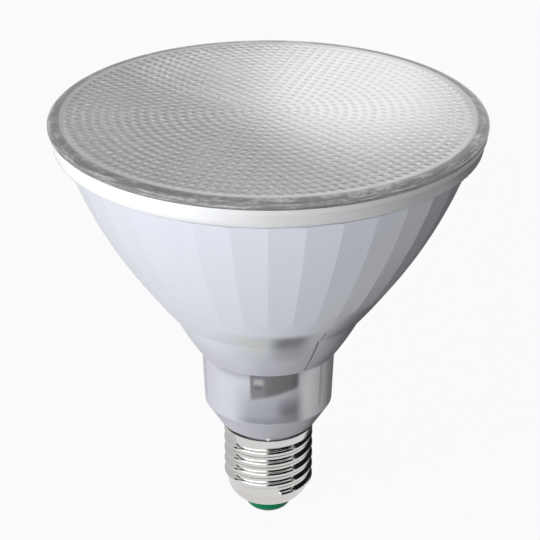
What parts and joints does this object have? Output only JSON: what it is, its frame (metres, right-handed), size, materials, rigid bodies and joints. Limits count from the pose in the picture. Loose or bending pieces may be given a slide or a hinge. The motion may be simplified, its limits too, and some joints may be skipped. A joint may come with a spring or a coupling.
{
  "type": "par spotlight bulb",
  "caption": "Reflector spotlight bulb with a wide conical housing, a dimpled clear lens and a metal screw cap.",
  "frame": {"origin": "on the lamp's axis, in the end face of the centre contact", "axes": "+Z along the lamp's axis from the cap to the lens, -Y to the front in the picture"},
  "size_m": [0.1218, 0.1218, 0.1286],
  "materials": {
    "cap_nickel": "bright nickel",
    "contact_nickel": "bright nickel",
    "solder": "satin",
    "insulator_green": "glossy",
    "housing_pale": "satin, slightly milky",
    "bezel_white": "satin",
    "seal_grey": "matt",
    "lens_clear": "clear, with small round lenslets",
    "reflector_silver": "bright metallised",
    "sink_aluminium": "satin",
    "screw_steel": "zinc plated",
    "pad_grey": "matt",
    "plate_white": "satin",
    "phosphor_yellow": "matt",
    "holder_white": "matt",
    "board_green": "satin",
    "ferrite_grey": "matt",
    "bobbin_grey": "matt",
    "tape_yellow": "satin",
    "copper_winding": "enamelled",
    "can_black": "satin sleeve",
    "film_yellow": "satin",
    "chip_black": "matt",
    "resistor_blue": "matt",
    "varistor_blue": "satin",
    "wire_white": "satin",
    "wire_dark": "satin"
  },
  "bodies": {
    "root": {"screw_shell": "cap_nickel", "centre_contact": "contact_nickel", "contact_solder": "solder", "cap_insulator": "insulator_green", "neck_housing": "housing_pale", "lower_bowl": "housing_pale", "upper_shell": "housing_pale", "bezel_ring": "bezel_white", "lens_seal": "seal_grey", "lens": "lens_clear", "reflector": "reflector_silver", "heat_sink": "sink_aluminium", "heat_sink_screws": "screw_steel", "thermal_pad": "pad_grey", "emitter_plate": "plate_white", "phosphor_disc": "phosphor_yellow", "emitter_holder": "holder_white", "holder_screws": "screw_steel", "driver_board": "board_green", "transformer_core": "ferrite_grey", "transformer_bobbin": "bobbin_grey", "transformer_winding": "tape_yellow", "filter_capacitor": "can_black", "choke_drum": "ferrite_grey", "choke_winding": "copper_winding", "fuse_resistor": "resistor_blue", "bulk_capacitor": "can_black", "film_capacitor": "film_yellow", "bridge_rectifier": "chip_black", "driver_chip": "chip_black", "varistor": "varistor_blue", "live_wire": "wire_dark", "neutral_wire": "wire_white", "lamp_wires": "wire_white"}
  },
  "joints": []
}
